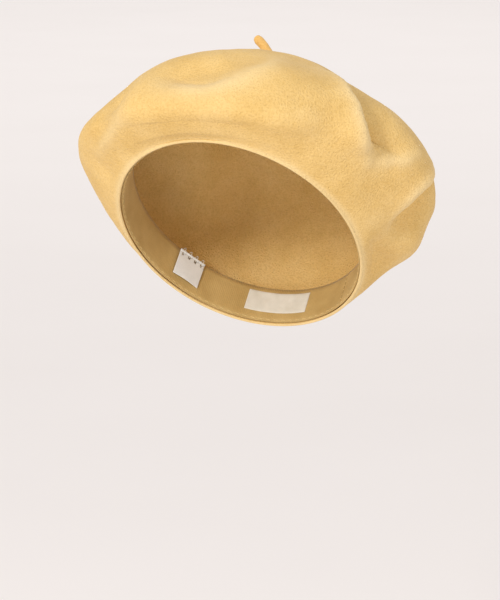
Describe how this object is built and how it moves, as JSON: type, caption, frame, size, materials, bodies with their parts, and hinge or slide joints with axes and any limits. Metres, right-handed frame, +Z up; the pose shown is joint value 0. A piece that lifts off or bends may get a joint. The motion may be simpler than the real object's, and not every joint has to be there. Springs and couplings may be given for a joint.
{
  "type": "beret",
  "caption": "Soft round wool-felt beret, worn tilted, with a short stalk at the crown's centre and a ribbon sweatband in its head opening.",
  "frame": {"origin": "centre of the head opening, in the plane of the felt's cut edge", "axes": "+Z up with the head upright, -Y towards the wearer's front, +X towards the wearer's left"},
  "size_m": [0.2464, 0.2122, 0.202],
  "materials": {
    "felt": "fulled wool felt with a short nap, matt, mustard yellow",
    "felt_stalk": "rolled wool felt, matt, mustard yellow",
    "felt_thread": "twisted wool thread, matt",
    "ribbon": "ribbed grosgrain ribbon, slight sheen",
    "ribbon_thread": "twisted polyester thread, slight sheen",
    "label_cloth": "close woven label cloth, blank, matt",
    "label_thread": "fine twisted thread, matt",
    "satin": "white satin tape, blank, soft gloss"
  },
  "bodies": {
    "root": {"felt_body": "felt", "stalk_tack": "felt_thread", "sweatband": "ribbon", "band_seam": "ribbon_thread", "band_join": "ribbon_thread", "woven_label": "label_cloth", "label_stitches": "label_thread", "care_stitches": "label_thread"},
    "stalk": {"stalk": "felt_stalk"},
    "care_label": {"care_label": "satin"}
  },
  "joints": [
    {"name": "stalk_tilt", "type": "hinge", "parent": "root", "child": "stalk", "pos_m": [0.003, 0.06141, 0.11091], "axis": [0, -0.9135, 0.4067], "range_deg": [-76, 8], "stiffness_Nm_per_rad": 0.002},
    {"name": "care_label_swing", "type": "hinge", "parent": "root", "child": "care_label", "pos_m": [-0.05886, 0.0638, -0.02795], "axis": [-0.6014, -0.5449, 0.5843], "range_deg": [0, 150]}
  ]
}
